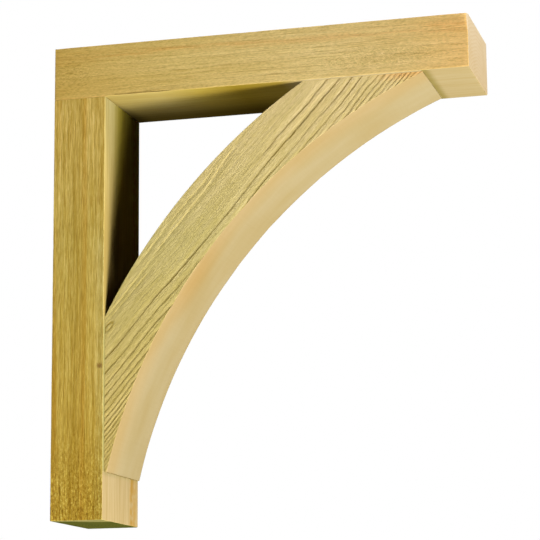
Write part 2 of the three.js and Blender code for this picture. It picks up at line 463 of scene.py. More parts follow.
section = plank_section()
first = math.pi - math.asin((lower_toe - arc_centre[1]) / SOFFIT_RADIUS) + OVERRUN
last = math.acos((upper_toe - arc_centre[0]) / SOFFIT_RADIUS) - OVERRUN
angles = np.linspace(first, last, round((first - last) * SOFFIT_RADIUS / PLANK_CELL))
rings = np.stack([
    arc_centre[0] + np.outer(np.cos(angles), section[:, 0]),
    np.tile(section[:, 1], (len(angles), 1)),
    arc_centre[1] + np.outer(np.sin(angles), section[:, 0]),
], axis=2)
size = len(section)
row, column = np.meshgrid(np.arange(len(angles) - 1), np.arange(size), indexing="ij")
beside = (column + 1) % size
here, after = row * size, (row + 1) * size
walls = np.stack([here + column, here + beside, after + beside, after + column], axis=2)
plank_points = rings.reshape(-1, 3)


def tool_marks(points):
    """The planed soffit is not dead flat: slow waves along the curve, under half a millimetre."""
    radius = np.hypot(points[:, 0] - arc_centre[0], points[:, 2] - arc_centre[1])
    on_soffit = 1 - rise(radius, SOFFIT_RADIUS, SOFFIT_RADIUS + 1.5 * MM)
    waves = 0.5 + 0.5 * soft_noise(points, (0.05, 0.09, 0.05), 2.1)
    return PLANE_WAVE * on_soffit * waves


spoke = plank_points - np.array([arc_centre[0], 0, arc_centre[1]])
spoke[:, 1] = 0
spoke /= np.linalg.norm(spoke, axis=1)[:, None]
plank_points = plank_points + spoke * tool_marks(plank_points)[:, None]

plank = make_piece("curved_brace_plank", plank_points, walls.reshape(-1, 4))
close_holes(plank)
print("plank faces:", len(plank.data.polygons))

# %% Keep what lies inside another solid
def keep_inside(piece, cutter):
    """Leaves of the piece only what lies inside the cutter, and removes the cutter."""
    cut = piece.modifiers.new("fit", "BOOLEAN")
    cut.operation = "INTERSECT"
    cut.solver = "MANIFOLD"
    cut.object = cutter
    shaped = bpy.data.meshes.new_from_object(piece.evaluated_get(bpy.context.evaluated_depsgraph_get()))
    shaped.materials.clear()
    piece.modifiers.clear()
    piece.data = shaped
    bpy.data.objects.remove(cutter)


def side_prism(name, outline, half_width):
    """A prism whose side view is the outline of (x, z) points, reaching half_width to each side."""
    count = len(outline)
    points = np.array([(x, y, z) for y in (-half_width, half_width) for x, z in outline])
    sides = [[i, (i + 1) % count, (i + 1) % count + count, i + count] for i in range(count)]
    prism = make_piece(name, points, np.array(sides))
    close_holes(prism)
    return prism


# %% Saw the plank's ends
from_centre = arc_centre[0] - upper_toe + UPPER_TOE_FACET
soffit_height = arc_centre[1] + math.sqrt(SOFFIT_RADIUS ** 2 - from_centre ** 2)
facet_start = np.array([upper_toe - UPPER_TOE_FACET, soffit_height])
facet_end = np.array([upper_toe, ARM_UNDERSIDE - UPPER_TOE_TIP])
clear_of_soffit = facet_start - 2 * (facet_end - facet_start)
SEATED = 0.1 * MM
room = [
    (LEG_FRONT - SEATED, lower_toe),
    (clear_of_soffit[0], lower_toe),
    tuple(clear_of_soffit),
    tuple(facet_end),
    (upper_toe, ARM_UNDERSIDE + SEATED),
    (LEG_FRONT - SEATED, ARM_UNDERSIDE + SEATED),
]
keep_inside(plank, side_prism("room_for_brace", room, 2 * BRACE_SIDE))
print("plank faces after sawing:", len(plank.data.polygons))

# %% [markdown]
# ## Curved brace: the weathered grain
# The fibres of the brace run straight up the plank at 48 degrees while its edges are curved, so the
# growth rings meet the soffit at a slant and crowd together towards both toes. The relief is made
# as a sheet in the grain's own directions, long cells along the fibres and narrow ones across, which
# keeps every ring crisp. The curved plank is then the outline that is cut out of it.

# %% Growth rings
GRAIN_SLOPE = math.radians(48)
LONG_RING = 67 * MM
LAST_RING = 169 * MM
WIDE_SPACING = 13.5 * MM
CLOSE_SPACING = 4 * MM
SPACING_FALL = 0.75
RISER_SHARE = 0.125
DEEPEST_RISER = 1.8 * MM
SHALLOWEST_RISER = 0.9 * MM
RISER_LEAN = 1.2 * MM

along_grain = np.array([math.cos(GRAIN_SLOPE), math.sin(GRAIN_SLOPE)])
across_grain = np.array([-math.sin(GRAIN_SLOPE), math.cos(GRAIN_SLOPE)])


def ring_list():
    """Depth and spacing of each ring, from the long one down to the soffit."""
    rings = []
    place, spacing = LONG_RING, WIDE_SPACING
    while place < LAST_RING:
        rings.append((place, spacing))
        place += spacing
        spacing = CLOSE_SPACING + (spacing - CLOSE_SPACING) * SPACING_FALL
    return rings


def wander(along, ring):
    """Fibres are never dead straight, and neighbouring rings wander together."""
    return MM * (1.3 * np.sin(along / 0.043 + ring / 0.030) + 0.6 * np.sin(along / 0.019 + ring / 0.011))


# %% [markdown]
# Four more rings lie above the long one. A short one towards the arm looks up and shows dark, like
# all the rings below it. The other three lie near the crown and cross the fibres a little. Their
# risers look down to the soffit and catch the light, so they show as pale lines.

# %% Rings above the long one
# Each row: depth below the crown, tilt, curl, start, end, run, and whether the riser looks up.
EXTRA_RINGS = (
    (54.5 * MM, 0.0, 0.0, 0.085, 0.290, 10 * MM, True),
    (20 * MM, -0.075, -0.15, -0.230, 0.120, 13 * MM, False),
    (36 * MM, 0.01, 0.0, -0.290, -0.100, 9 * MM, False),
    (11 * MM, -0.035, 0.0, -0.150, 0.060, 6 * MM, False),
)
EXTRA_DEPTH = 1.1 * MM
EXTRA_FADE = 0.04


def step_profile(into, run, up):
    """A ramp that sinks for the length of run towards the ring, and a steep riser after it."""
    if not up:
        into = -into
    ramp = np.clip(1 + into / run, 0, 1) ** 2 * (into < 0)
    riser = (1 - rise(into, 0, RISER_LEAN)) * (into >= 0)
    return ramp + riser


# %% Weathered surface
OVAL_KNOT = (-0.2165, 0.0405)
OVAL_SIZE = (8.0 * MM, 3.2 * MM)
OVAL_DEPTH = 0.8 * MM
LEAST_WEAR = 0.08 * MM
FIBRE_WEAR = 0.2 * MM


def grain_noise(along, ring, side, scale, offset):
    """Noise in the grain's own directions, another on each side of the brace."""
    spots = np.stack([along, ring, np.full(along.shape, side * 0.1)], axis=-1).reshape(-1, 3)
    return soft_noise(spots, scale, offset).reshape(along.shape)


def ring_steps(along, ring, side):
    """Every ring as its distance from the point, run, depth and direction."""
    swing = grain_noise(along, ring, side, (0.045, 0.02, 0.1), 4.2)
    jog = grain_noise(along, ring, side, (0.013, 0.03, 0.1), 8.1)
    patchy = grain_noise(along, ring, side, (0.07, 0.012, 0.1), 9.4)
    place = ring - wander(along, ring) - MM * (1.2 * swing + 0.9 * jog)
    vary = 0.8 + 0.7 * np.clip(patchy, -0.5, 0.5)
    for line, spacing in ring_list():
        deep = min(DEEPEST_RISER, max(SHALLOWEST_RISER, spacing * RISER_SHARE)) * vary
        yield place - line, 0.8 * spacing, deep, True
    for low, tilt, curl, start, end, run, up in EXTRA_RINGS:
        fade = rise(along, start, start + EXTRA_FADE) * (1 - rise(along, end - EXTRA_FADE, end))
        line = low + (tilt + curl * along) * along
        yield place - line, run, EXTRA_DEPTH * fade * vary, up


def from_knot(along, ring):
    """Distance from the oval knot's middle, 1 on its outline."""
    return np.hypot((along - OVAL_KNOT[0]) / OVAL_SIZE[0], (ring - OVAL_KNOT[1]) / OVAL_SIZE[1])


def weathered_depth(along, ring, side):
    """Depth of the worn surface below the brace's true side, in metres."""
    depth = np.full(along.shape, LEAST_WEAR)
    for into, run, deep, up in ring_steps(along, ring, side):
        depth = np.maximum(depth, deep * step_profile(into, run, up))
    if side < 0:
        depth = depth + OVAL_DEPTH * (1 - rise(np.abs(from_knot(along, ring) - 1), 0.0, 0.45))
    fine = grain_noise(along, ring, side, (0.03, 0.0016, 0.1), 6.6)
    return depth + FIBRE_WEAR * np.clip(fine + 0.5, 0, 1)


print("rings:", len(ring_list()))

# %% Relief sheet
SHEET_CELL_ALONG = 3.2 * MM
SHEET_CELL_ACROSS = 0.85 * MM
SHEET_ALONG = (-375 * MM, 335 * MM)
SHEET_ACROSS = (-6 * MM, 180 * MM)


def relief_sheet():
    """A closed slab whose two large faces carry the relief."""
    steps_along = round((SHEET_ALONG[1] - SHEET_ALONG[0]) / SHEET_CELL_ALONG)
    steps_across = round((SHEET_ACROSS[1] - SHEET_ACROSS[0]) / SHEET_CELL_ACROSS)
    long_places = np.linspace(*SHEET_ALONG, steps_along + 1)
    cross_places = np.linspace(*SHEET_ACROSS, steps_across + 1)
    along, ring = np.meshgrid(long_places, cross_places, indexing="ij")
    across = CROWN_RADIUS - ring
    x = arc_centre[0] + along * along_grain[0] + across * across_grain[0]
    z = arc_centre[1] + along * along_grain[1] + across * across_grain[1]
    points = []
    for side in (-1, 1):
        y = side * (BRACE_SIDE - weathered_depth(along, ring, side))
        points.append(np.stack([x, y, z], axis=2).reshape(-1, 3))
    grid = np.arange(along.size).reshape(along.shape)
    other = grid + along.size
    near_cells = [grid[:-1, :-1], grid[1:, :-1], grid[1:, 1:], grid[:-1, 1:]]
    far_cells = [other[:-1, :-1], other[:-1, 1:], other[1:, 1:], other[1:, :-1]]
    faces = [np.stack(cells, axis=2).reshape(-1, 4) for cells in (near_cells, far_cells)]
    rim = np.concatenate([grid[:, 0], grid[-1, 1:], grid[-2::-1, -1], grid[0, -2:0:-1]])
    after = np.roll(rim, -1)
    faces.append(np.stack([rim, rim + along.size, after + along.size, after], axis=1))
    return np.concatenate(points), np.concatenate(faces)


sheet = make_piece("relief_sheet", *relief_sheet())
close_holes(sheet)

keep_inside(plank, sheet)
print("brace triangles:", count_triangles(plank))

# %% [markdown]
# ## Masks carried by the meshes
# Some marks belong to a shape: the dark line at the foot of each growth ring's riser, the pale edge
# above it, and the fuzz where the saw tore the fibres. Each is worked out at every point of the
# finished mesh with the same functions that carved it, and stored there for the finishes to read.

# %% Store the masks
SIDE_SKIN = 4 * MM
BOLD_RISER = 1.5 * MM


def store_mask(piece, name, values):
    mask = piece.data.attributes.new(name, "FLOAT", "POINT")
    mask.data.foreach_set("value", np.clip(values, 0, 1).astype(np.float32))


def read_vectors(items, name):
    """One row of x, y and z for each point or face of a mesh."""
    flat = np.empty(3 * len(items))
    items.foreach_get(name, flat)
    return flat.reshape(-1, 3)


def grain_place(points):
    """The place along the fibres and the depth below the crown's highest point."""
    flat = points[:, [0, 2]] - arc_centre
    return flat @ along_grain, CROWN_RADIUS - flat @ across_grain


def ring_masks(points):
    """Painted shade at the foot of each riser, with the oval knot's outline, and pale crests, partly rubbed
    and partly painted highlight, on both sides of the brace.
    """
    # dark holds painted shade at each riser's foot; pale holds each crest, partly rubbed and partly painted
    # highlight.
    dark, pale = np.zeros(len(points)), np.zeros(len(points))
    for side in (-1, 1):
        here = np.flatnonzero(points[:, 1] * side > BRACE_SIDE - SIDE_SKIN)
        along, ring = grain_place(points[here])
        for into, run, deep, up in ring_steps(along, ring, side):
            into = into if up else -into
            strength = np.clip(deep / BOLD_RISER, 0, 1)
            line = 1 - rise(np.abs(into - 0.3 * RISER_LEAN), 0.3 * RISER_LEAN, 1.4 * RISER_LEAN)
            crest = 1 - rise(np.abs(into - 1.7 * RISER_LEAN), 0.3 * RISER_LEAN, 1.3 * RISER_LEAN)
            dark[here] = np.maximum(dark[here], strength * line * (1.0 if up else 0.25))
            pale[here] = np.maximum(pale[here], strength * crest * (0.55 if up else 1.0))
        if side < 0:
            outline = 1 - rise(np.abs(from_knot(along, ring) - 1), 0.1, 0.55)
            dark[here] = np.maximum(dark[here], outline)
    return dark, pale


arm_at, leg_at, plank_at = (read_vectors(piece.data.vertices, "co") for piece in (arm, leg, plank))
store_mask(arm, "torn", arm_torn(arm_at))
store_mask(arm, "dark_mark", check_line(arm_at))
store_mask(leg, "torn", leg_torn(leg_at))
knot_rim = near(leg_at, KNOT, 1.7 * KNOT_REACH) - 0.9 * near(leg_at, KNOT, 0.8 * KNOT_REACH)
store_mask(leg, "dark_mark", knot_rim)
# Painted shade at each riser's foot with the knot's outline, and crests partly rubbed and partly painted
# highlight.
riser_shade_and_knot, crest_wear_and_highlight = ring_masks(plank_at)
store_mask(plank, "riser_shade_and_knot_line", riser_shade_and_knot)
store_mask(plank, "crest_wear_and_sheen", crest_wear_and_highlight)
print("ring line points:", int((riser_shade_and_knot > 0.5).sum()))

# %% [markdown]
# ## Finishes: a few helpers
# All the finishes are built from shader nodes, with the helper that made the background. These
# shorter ones on top of it do sums, find soft-edged masks, shade a colour and stretch a place.

# %% Sums, masks and shades
def maths(tree, operation, *values):
    return node(tree, "Math", dict(enumerate(values)), operation=operation)


def times(tree, first, second):
    return maths(tree, "MULTIPLY", first, second)


def less(tree, first, second):
    return maths(tree, "SUBTRACT", first, second)


def share(tree, value, start, end, kind="LINEAR"):
    """How far a value has come from start to end, as a number from 0 to 1."""
    limits = {"Value": value, "From Min": start, "From Max": end}
    return node(tree, "MapRange", limits, interpolation_type=kind)


def mask(tree, value, start, end):
    """0 below start, 1 above end, and smooth between."""
    return share(tree, value, start, end, "SMOOTHSTEP")


def band(tree, value, centre, half_width):
    """1 at the centre of a band and 0 outside it."""
    gap = maths(tree, "ABSOLUTE", less(tree, value, centre))
    return less(tree, 1.0, mask(tree, gap, 0.0, half_width))


def shade(tree, colour, amount, tone):
    """Multiplies a colour by a tone where the amount is 1."""
    inputs = {0: amount, 6: colour, 7: (*tone, 1)}
    return node(tree, "Mix", inputs, 2, data_type="RGBA", blend_type="MULTIPLY")


def noise_at(tree, place, scale, detail=2.0, roughness=0.5):
    return node(tree, "TexNoise", {"Vector": place, "Scale": scale, "Detail": detail, "Roughness": roughness})


def stretch(tree, place, amounts):
    return node(tree, "VectorMath", {0: place, 1: amounts}, operation="MULTIPLY")


def colour_row(tree, value, stops):
    """Colours along a value from 0 to 1; each stop is a place and a colour."""
    made = tree.nodes.new("ShaderNodeValToRGB")
    row = made.color_ramp.elements
    while len(row) < len(stops):
        row.new(0.5)
    for element, (place, colour) in zip(row, stops):
        element.position = place
        element.color = (*colour, 1)
    tree.links.new(value, made.inputs["Fac"])
    return made.outputs["Color"]


# %% [markdown]
# ## Finishes: shared effects
# Each effect that more than one finish needs is a node group. *fibre_streaks* gives the bands and
# thin threads of sawn softwood, stretched along the fibres. *saw_fuzz* gives the short pale and dark
# flecks of torn fibres. *end_rings* gives growth rings round the heart of the tree for the sawn
# ends. The last group finds the rounded edges by their slanted faces, where the finishes paint a
# pale highlight on the leg's arrises and a faint shade on those of the arm and the planed faces.

# %% Group helpers
def start_group(name, inputs, outputs):
    group = bpy.data.node_groups.new(name, "ShaderNodeTree")
    for label, kind, value in inputs:
        socket = group.interface.new_socket(label, in_out="INPUT", socket_type="NodeSocket" + kind)
        socket.default_value = value
    for label, kind in outputs:
        group.interface.new_socket(label, in_out="OUTPUT", socket_type="NodeSocket" + kind)
    return group, group.nodes.new("NodeGroupInput").outputs, group.nodes.new("NodeGroupOutput")


def use(tree, group, **inputs):
    """Places a shared effect in a finish and returns its outputs."""
    shared = tree.nodes.new("ShaderNodeGroup")
    shared.node_tree = group
    feed(tree, shared, inputs)
    return shared.outputs


# %% Fibre streaks
fibre_streaks, given, made = start_group(
    "fibre_streaks",
    [("Place", "Vector", (0, 0, 0)), ("Stretch", "Vector", (5, 90, 90))],
    [("Bands", "Float"), ("Streaks", "Float"), ("Threads", "Float")],
)
tree = fibre_streaks
fibres = stretch(tree, given["Place"], given["Stretch"])
wide = noise_at(tree, fibres, 0.7, 1.0)
fine = noise_at(tree, fibres, 3.1, 3.0, 0.65)
thin = noise_at(tree, fibres, 9.0, 2.0)
feed(tree, made, {
    "Bands": mask(tree, wide, 0.36, 0.66),
    "Streaks": mask(tree, fine, 0.36, 0.66),
    "Threads": mask(tree, thin, 0.56, 0.72),
})

# %% Saw fuzz
saw_fuzz, given, made = start_group(
    "saw_fuzz",
    [("Place", "Vector", (0, 0, 0)), ("Stretch", "Vector", (250, 420, 420)), ("Cover", "Float", 0.5)],
    [("Pale", "Float"), ("Dark", "Float")],
)
tree = saw_fuzz
hairs = stretch(tree, given["Place"], given["Stretch"])
lumps = noise_at(tree, hairs, 1.0, 2.0, 0.6)
pale = mask(tree, lumps, 0.52, 0.66)
dark = less(tree, 1.0, mask(tree, lumps, 0.34, 0.48))
feed(tree, made, {
    "Pale": times(tree, pale, given["Cover"]),
    "Dark": times(tree, dark, given["Cover"]),
})

# %% End rings
end_rings, given, made = start_group(
    "end_rings",
    [("Place", "Vector", (0, 0, 0)), ("Heart", "Vector", (0, 0, 0)), ("Spacing", "Float", 0.004)],
    [("Late", "Float"), ("Rays", "Float")],
)
tree = end_rings
from_heart = node(tree, "VectorMath", {0: given["Place"], 1: given["Heart"]}, operation="SUBTRACT")
distance = node(tree, "VectorMath", {0: from_heart}, "Value", operation="LENGTH")
wobble = times(tree, noise_at(tree, from_heart, 22, 1.0), 0.012)
bent = maths(tree, "ADD", distance, wobble)
turn = maths(tree, "FRACT", maths(tree, "DIVIDE", bent, given["Spacing"]))
feed(tree, made, {
    "Late": times(tree, mask(tree, turn, 0.35, 0.9), maths(tree, "LESS_THAN", turn, 0.97)),
    "Rays": mask(tree, noise_at(tree, from_heart, 900, 2.0), 0.5, 0.7),
})

# %% Rounded edges for painted light
arris_painted_light, given, made = start_group(
    "arris_painted_light",
    [("Place", "Vector", (0, 0, 0)), ("Sharpness", "Float", 0.9)],
    [("Edge", "Float")],
)
tree = arris_painted_light
facing = node(tree, "NewGeometry", {}, "True Normal")
sizes = node(tree, "VectorMath", {0: facing}, operation="ABSOLUTE")
parts = node(tree, "SeparateXYZ", {0: sizes}).node.outputs
largest = maths(tree, "MAXIMUM", maths(tree, "MAXIMUM", parts[0], parts[1]), parts[2])
slant = less(tree, 1.0, mask(tree, largest, given["Sharpness"], 0.985))
ragged = mask(tree, noise_at(tree, given["Place"], 260, 2.0), 0.3, 0.6)
feed(tree, made, {"Edge": times(tree, slant, ragged)})

print("shared effects:", [group.name for group in bpy.data.node_groups])

# %% Start a finish
def start_finish(name):
    """A new material; returns it with its tree, its shader and the place on the bracket."""
    finish = bpy.data.materials.new(name)
    finish.use_nodes = True
    tree = finish.node_tree
    shader = tree.nodes["Principled BSDF"]
    shader.inputs["Specular IOR Level"].default_value = 0.2
    return finish, tree, shader, node(tree, "TexCoord", {}, "Object")


def split(tree, place):
    return node(tree, "SeparateXYZ", {0: place}).node.outputs


def mark(tree, name):
    """A mask that was stored on the mesh."""
    return node(tree, "Attribute", {}, "Fac", attribute_name=name)


def paint(tree, shader, colour, marks):
    """Shades the base colour by each mark's tone in turn."""
    for amount, tone in marks:
        colour = shade(tree, colour, amount, tone)
    feed(tree, shader, {"Base Color": colour})


def rough_surface(tree, shader, heights, depth, roughness):
    """Bump from a weighted sum of masks, and roughness that follows the first of them."""
    total = 0.0
    for weight, value in heights:
        total = maths(tree, "MULTIPLY_ADD", value, weight, total)
    bump = node(tree, "Bump", {"Height": total, "Strength": 0.8, "Distance": depth}, "Normal")
    low, high = roughness
    rough = node(tree, "MapRange", {"Value": heights[0][1], "To Min": low, "To Max": high})
    feed(tree, shader, {"Normal": bump, "Roughness": rough})


# %% [markdown]
# ## Sawn sides of the arm
# The arm's sides are fresh from the saw. Their colour drifts from golden brown at the wall to a
# warm straw at the free end. A reddish band of older wood runs near the top, thin brown threads
# follow the fibres, and torn patches scatter pale and dark flecks.

# %% Sawn arm finish
sawn_arm, tree, shader, place = start_finish("sawn_arm_sides")
x, y, z = split(tree, place)
along_arm = maths(tree, "DIVIDE", x, arm_high[0])
colour = colour_row(tree, along_arm, [
    (0.0, (0.63, 0.42, 0.098)),
    (0.3, (0.71, 0.52, 0.168)),
    (0.65, (0.785, 0.59, 0.240)),
    (0.86, (0.775, 0.555, 0.215)),
    (1.0, (0.865, 0.555, 0.200)),
])
streak = use(tree, fibre_streaks, Place=place, Stretch=(3.2, 75, 75))
fuzz = use(tree, saw_fuzz, Place=place, Stretch=(300, 480, 480), Cover=mark(tree, "torn"))
haze = use(tree, saw_fuzz, Place=place, Stretch=(210, 720, 720), Cover=0.8)
# The arm's rounded arrises are painted a little darker: painted shade that damps their highlight.
edge = use(tree, arris_painted_light, Place=place, Sharpness=0.86)
red_band = times(tree, band(tree, z, 0.320, 0.014), times(tree, streak["Streaks"], streak["Bands"]))
over_leg = maths(tree, "LESS_THAN", x, LEG_FRONT)
# A pale line on the arm just above its joint with the leg: painted highlight of the leg's eased top edge.
painted_seam_highlight = times(tree, band(tree, z, ARM_UNDERSIDE + 0.5 * MM, 1.6 * MM), over_leg)
paint(tree, shader, colour, (
    (streak["Bands"], (0.96, 0.94, 0.87)),
    (streak["Streaks"], (0.92, 0.91, 0.84)),
    (streak["Threads"], (0.83, 0.78, 0.66)),
    (red_band, (1.05, 0.88, 0.84)),
    (fuzz["Pale"], (1.11, 1.14, 1.24)),
    (fuzz["Dark"], (0.80, 0.79, 0.68)),
    (haze["Pale"], (1.13, 1.15, 1.24)),
    (haze["Dark"], (0.80, 0.80, 0.72)),
    (edge["Edge"], (0.96, 0.96, 0.96)),
    (painted_seam_highlight, (1.14, 1.04, 1.10)),
    (mark(tree, "dark_mark"), (0.42, 0.36, 0.26)),
))
heights = [(0.6, streak["Streaks"]), (0.3, streak["Threads"]), (0.8, fuzz["Pale"])]
rough_surface(tree, shader, heights, 0.4 * MM, (0.72, 0.9))

# %% [markdown]
# ## Sawn sides of the leg
# The leg came from another board: it is a deeper golden brown, darkest at the foot, with strong
# upright streaks. Two broad stripes of orange heartwood run up it, the wood pales beside the near
# front arris below the corner, and pale fuzz covers the foot.

# %% Sawn leg finish
sawn_leg, tree, shader, place = start_finish("sawn_leg_sides")
x, y, z = split(tree, place)
up_leg = share(tree, z, leg_low[2], leg_high[2])
colour = colour_row(tree, up_leg, [
    (0.0, (0.42, 0.255, 0.020)),
    (0.12, (0.45, 0.285, 0.030)),
    (0.35, (0.51, 0.345, 0.056)),
    (0.65, (0.53, 0.375, 0.070)),
    (0.95, (0.62, 0.425, 0.092)),
])
streak = use(tree, fibre_streaks, Place=place, Stretch=(120, 120, 2.4))
grain = use(tree, fibre_streaks, Place=place, Stretch=(330, 330, 9.0))
fuzz = use(tree, saw_fuzz, Place=place, Stretch=(480, 480, 260), Cover=mark(tree, "torn"))
haze = use(tree, saw_fuzz, Place=place, Stretch=(640, 640, 60), Cover=0.7)
# The leg's rounded arrises are painted much paler: painted highlight.
edge = use(tree, arris_painted_light, Place=place, Sharpness=0.86)
stripes = maths(tree, "ADD", band(tree, x, 0.006, 0.008), band(tree, x, 0.050, 0.010))
below_corner = less(tree, 1.0, mask(tree, z, 0.02, 0.10))
pale_front = times(tree, mask(tree, x, 0.060, 0.074), below_corner)
paint(tree, shader, colour, (
    (times(tree, stripes, streak["Bands"]), (1.02, 0.84, 0.50)),
    (pale_front, (1.06, 1.16, 1.70)),
    (streak["Bands"], (0.88, 0.85, 0.72)),
    (streak["Streaks"], (0.82, 0.77, 0.55)),
    (streak["Threads"], (0.68, 0.58, 0.36)),
    (grain["Streaks"], (1.20, 1.27, 1.60)),
    (grain["Threads"], (1.24, 1.38, 2.05)),
    (fuzz["Pale"], (1.34, 1.52, 2.50)),
    (fuzz["Dark"], (0.62, 0.54, 0.32)),
    (haze["Pale"], (1.18, 1.24, 1.55)),
    (haze["Dark"], (0.76, 0.73, 0.58)),
    (edge["Edge"], (1.40, 1.58, 2.60)),
    (mark(tree, "dark_mark"), (0.42, 0.26, 0.18)),
))
heights = [(0.5, streak["Streaks"]), (0.4, grain["Streaks"]), (0.9, fuzz["Pale"])]
rough_surface(tree, shader, heights, 0.5 * MM, (0.74, 0.92))

# %% [markdown]
# ## Planed faces of the straight timbers
# The arm's underside and the leg's front went over a planer. They are smooth and pale, with faint
# bands along the fibres. Inside the open corner their colour is deeper and warmer, because the
# photograph's half-shadow there is more golden than the lamps alone would make it: this is painted
# shade, and the colours along the faces also paint the corner's shade on the arm's underside and
# its light towards the top of the leg. A ragged strip of orange heartwood shows along the leg's far
# front edge, and a dull olive painted shadow of the brace's upper toe lies on the arm just past it.

# %% Planed timber finishes
def planed_timber(name, stretched, axis, colours, contrast, own_marks):
    """A planed face. stretched holds the lumps per metre, colours run along the axis of its
    fibres, contrast deepens the bands, and own_marks adds what only this face has."""
    finish, tree, shader, place = start_finish(name)
    streak = use(tree, fibre_streaks, Place=place, Stretch=stretched)
    # The rounded edges of planed faces get a faint painted shade.
    edge = use(tree, arris_painted_light, Place=place, Sharpness=0.86)
    low, high = (arm_low[0], arm_high[0]) if axis == 0 else (leg_low[2], leg_high[2])
    run = share(tree, split(tree, place)[axis], low, high)
    shaded = colour_row(tree, run, [((at - low) / (high - low), colour) for at, colour in colours])
    marks = [
        (streak["Bands"], (0.96, 0.94, 0.88)),
        (streak["Streaks"], (0.98, 0.965, 0.93)),
        (times(tree, streak["Streaks"], contrast), (0.86, 0.82, 0.68)),
        (streak["Threads"], (0.96, 0.94, 0.88)),
        (edge["Edge"], (0.98, 0.98, 0.98)),
    ]
    paint(tree, shader, shaded, marks + own_marks(tree, place, streak))
    rough_surface(tree, shader, [(0.5, streak["Streaks"]), (0.3, streak["Threads"])], 0.12 * MM, (0.5, 0.66))
    return finish


def heart_strip_and_corner_shade(tree, place, streak):
    """The orange strip along the far edge of the leg's front, and painted shade, deep and golden, in the
    corner.
    """
    x, y, z = split(tree, place)
    across = maths(tree, "ADD", y, times(tree, streak["Bands"], 0.010))
    strip = band(tree, across, 0.058, 0.020)
    strip = times(tree, strip, mask(tree, noise_at(tree, place, 90, 3.0), 0.3, 0.6))
    # Deeper golden colour in the depth of the corner on the leg's front: painted shade.
    deep = times(tree, mask(tree, z, -0.05, -0.02), mask(tree, y, -0.050, -0.005))
    return [(strip, (0.94, 0.74, 0.34)), (deep, (1.0, 0.96, 0.30))]


def toe_shadow_and_corner_shade(tree, place, streak):
    """Painted olive shadow of the brace's upper toe on the arm just past it, and painted shade in the deep
    corner.
    """
    x, y, z = split(tree, place)
    # An olive band just past the upper toe: painted shadow of the toe on the arm.
    past = less(tree, x, upper_toe)
    dark_tone = times(tree, mask(tree, past, -0.002, 0.0), less(tree, 1.0, mask(tree, past, 0.002, 0.014)))
    inside = less(tree, 1.0, mask(tree, x, 0.34, 0.36))
    # Much darker colour in the depth of the corner on the arm's underside: painted shade.
    deep = times(tree, inside, mask(tree, y, -0.020, 0.060))
    return [(dark_tone, (0.66, 0.66, 0.42)), (deep, (0.26, 0.23, 0.11))]


# Along the leg's front the colours grow paler towards the top of the open corner: painted light.
planed_leg = planed_timber("planed_leg_front", (60, 60, 3), 2, [
    (-0.330, (0.73, 0.55, 0.265)),
    (-0.275, (0.73, 0.55, 0.265)),
    (-0.265, (0.58, 0.52, 0.190)),
    (-0.070, (0.60, 0.53, 0.190)),
    (-0.045, (0.70, 0.51, 0.145)),
    (0.060, (0.78, 0.57, 0.170)),
    (0.150, (0.96, 0.75, 0.270)),
    (0.255, (0.98, 0.82, 0.330)),
], 0.6, heart_strip_and_corner_shade)
# Along the arm's underside the colours are darkest inside the corner, from 0.21 to 0.33 m: painted shade.
planed_arm = planed_timber("planed_arm_underside", (3, 60, 60), 0, [
    (0.076, (0.70, 0.53, 0.150)),
    (0.150, (0.78, 0.60, 0.180)),
    (0.210, (0.66, 0.48, 0.080)),
    (0.265, (0.44, 0.30, 0.025)),
    (0.330, (0.44, 0.30, 0.040)),
    (0.370, (0.68, 0.53, 0.250)),
    (0.590, (0.68, 0.53, 0.255)),
], 0.25, toe_shadow_and_corner_shade)

# %% [markdown]
# ## Sawn ends
# The arm's end is the palest wood, with growth rings that curve round a heart below it.
# The foot's end grain is dark olive, but for a pale frayed rim along the near side, where fibres
# hang over the edge. The brace's level lower toe is painted brown as shade.

# %% End finishes
ARM_HEART = (arm_high[0], 0.02, arm_low[2] - 0.11)
arm_end, tree, shader, place = start_finish("arm_end_grain")
rings_now = use(tree, end_rings, Place=place, Heart=ARM_HEART, Spacing=0.0052)
up_end = share(tree, split(tree, place)[2], arm_low[2], arm_high[2])
colour = colour_row(tree, up_end, [(0.0, (0.67, 0.505, 0.285)), (1.0, (0.715, 0.565, 0.36))])
paint(tree, shader, colour, (
    (rings_now["Late"], (0.965, 0.94, 0.88)),
    (rings_now["Rays"], (0.98, 0.97, 0.93)),
    (mask(tree, noise_at(tree, place, 30, 3.0), 0.45, 0.7), (0.97, 0.95, 0.90)),
))
rough_surface(tree, shader, [(0.5, rings_now["Late"]), (0.5, rings_now["Rays"])], 0.15 * MM, (0.6, 0.75))

# %% Dark end grain
FOOT_HEART = (0.10, 0.04, leg_low[2])


